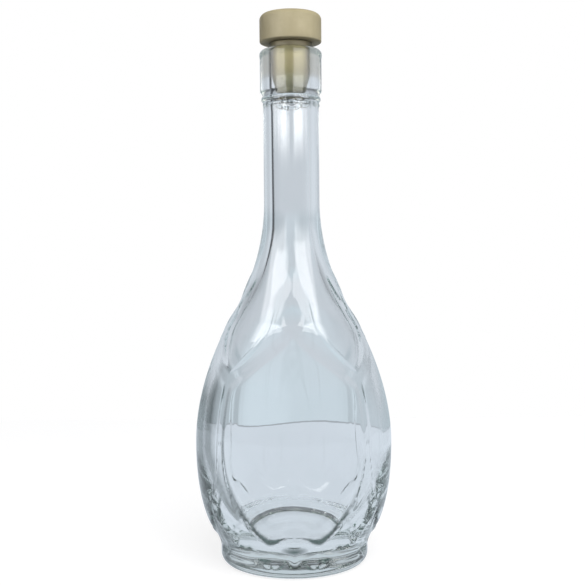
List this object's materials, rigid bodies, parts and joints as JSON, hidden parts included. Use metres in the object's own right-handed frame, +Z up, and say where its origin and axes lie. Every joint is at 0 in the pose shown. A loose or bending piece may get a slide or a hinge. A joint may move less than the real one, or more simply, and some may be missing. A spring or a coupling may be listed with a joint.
{
  "type": "glass bottle",
  "caption": "Clear glass bottle with a long neck, a pressed relief of shields and leaves on an egg-shaped body, and a wooden bar-top stopper that lifts out.",
  "frame": {"origin": "centre of the foot, on the surface that the bottle stands on", "axes": "+Z up the bottle's axis, towards the stopper; the middle of one of the four shields of the relief faces -Y"},
  "size_m": [0.0946, 0.0946, 0.263],
  "materials": {
    "bottle_glass": "clear and fire-polished, with a faint grey-green cast",
    "head_wood": "turned pale wood, matte",
    "shank_polymer": "synthetic cork, satin",
    "hot_melt_glue": "translucent hot-melt glue"
  },
  "bodies": {
    "bottle_body": {"bottle": "bottle_glass"},
    "stopper": {"stopper_shank": "shank_polymer", "stopper_head": "head_wood", "glue_pad": "hot_melt_glue"}
  },
  "joints": [
    {"name": "stopper_lift", "type": "slide", "parent": "bottle_body", "child": "stopper", "axis": [0, 0, 1], "range_m": [0, 0.04]}
  ]
}
